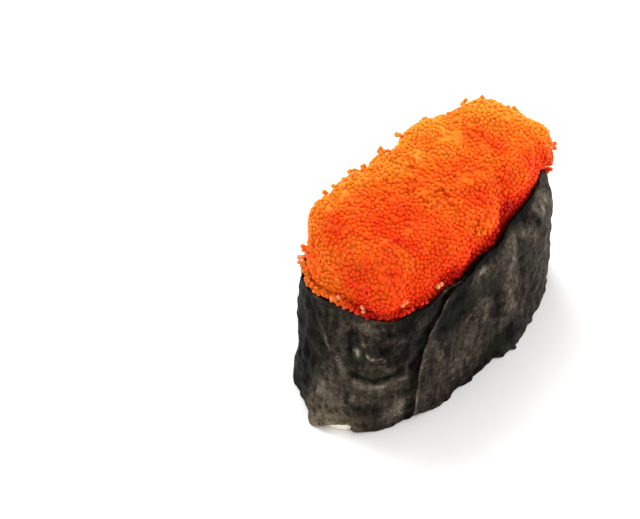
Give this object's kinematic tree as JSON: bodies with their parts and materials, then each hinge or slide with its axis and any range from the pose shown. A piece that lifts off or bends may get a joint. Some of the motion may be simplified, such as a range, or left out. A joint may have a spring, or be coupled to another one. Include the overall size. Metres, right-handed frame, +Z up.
{
  "type": "gunkan sushi",
  "caption": "Oval gunkan sushi: a pressed rice block in an upright nori wrap, its collar heaped with tiny orange fish eggs.",
  "frame": {"origin": "middle of the flat underside, on the surface it rests on", "axes": "+Z up, +X along the length towards the end with the lower roe, -Y the long side where the nori's free edge shows"},
  "size_m": [0.057, 0.0281, 0.0394],
  "materials": {
    "nori": "damp pressed seaweed sheet, dark green-black with a satin sheen",
    "rice": "cooked seasoned rice, cream white and slightly glossy",
    "roe": "moist translucent orange eggs"
  },
  "bodies": {
    "root": {"nori_wrap": "nori", "rice_block": "rice", "roe_heap": "roe"}
  },
  "joints": []
}
